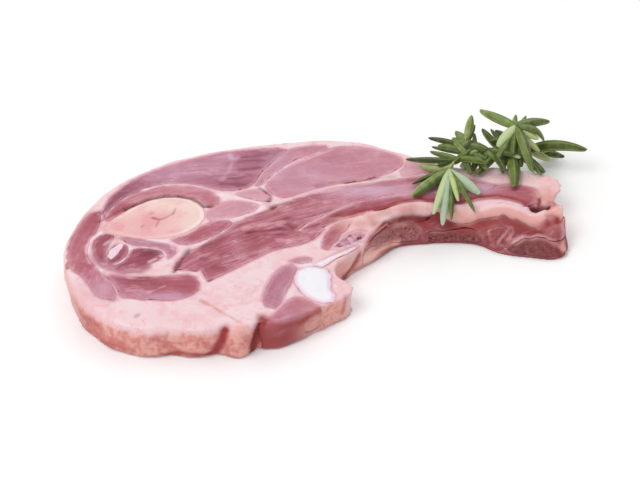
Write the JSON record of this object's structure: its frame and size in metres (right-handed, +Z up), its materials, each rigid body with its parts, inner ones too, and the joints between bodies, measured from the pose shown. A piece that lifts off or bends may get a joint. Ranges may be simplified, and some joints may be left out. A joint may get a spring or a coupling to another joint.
{
  "type": "raw lamb chop",
  "caption": "Raw lamb shoulder chop with a round bone, seams of fat between its muscles, a fat pad, a narrow rib arm and a sprig of rosemary on top.",
  "frame": {"origin": "middle of the underside of the part's box, on the surface it lies on", "axes": "+X along the chop towards the rib end, +Y from the breast side to the back, +Z up through the slice"},
  "size_m": [0.228, 0.142, 0.0301],
  "materials": {
    "fat": "pale pinkish white fat, salmon membrane on the outer edge",
    "bone": "sawn bone, cream pink with fine grain",
    "cartilage": "smooth bluish white cartilage",
    "sinew": "white sinew",
    "marrow": "spongy bone with red marrow",
    "muscle_dark": "moist dark red muscle",
    "muscle_mauve": "moist mauve muscle",
    "muscle_rose": "moist rose red muscle",
    "muscle_pale": "moist pale pink muscle",
    "muscle_grained": "moist red muscle with long grain",
    "rib_meat": "deep red meat between the ribs",
    "rosemary": "green needle leaves with pale undersides"
  },
  "bodies": {
    "root": {"round_bone": "bone", "breast_cartilage": "cartilage", "breast_sinew": "sinew", "shank_sinew": "sinew", "neck_bone": "marrow", "shank_muscle_outer": "muscle_dark", "shank_muscle_top": "muscle_mauve", "shank_muscle_eye": "muscle_dark", "shank_muscle_inner": "muscle_dark", "muscle_over_bone": "muscle_rose", "muscle_under_bone": "muscle_rose", "muscle_beside_bone": "muscle_pale", "muscle_small_back": "muscle_pale", "muscle_back_long": "muscle_mauve", "muscle_back_wedge": "muscle_pale", "muscle_back_right": "muscle_pale", "muscle_small_right": "muscle_pale", "muscle_outer": "muscle_rose", "muscle_front": "muscle_rose", "muscle_breast_curved": "muscle_mauve", "muscle_breast_corner": "muscle_rose", "muscle_breast_sliver": "muscle_mauve", "muscle_neck": "muscle_rose", "muscle_rib_cover": "muscle_rose", "muscle_middle_long": "muscle_grained", "muscle_rib": "rib_meat", "rib_bone_first": "bone", "rib_bone_second": "bone", "rib_knuckle": "marrow", "rib_bone_end": "bone", "fat": "fat", "rosemary_sprig": "rosemary"}
  },
  "joints": []
}
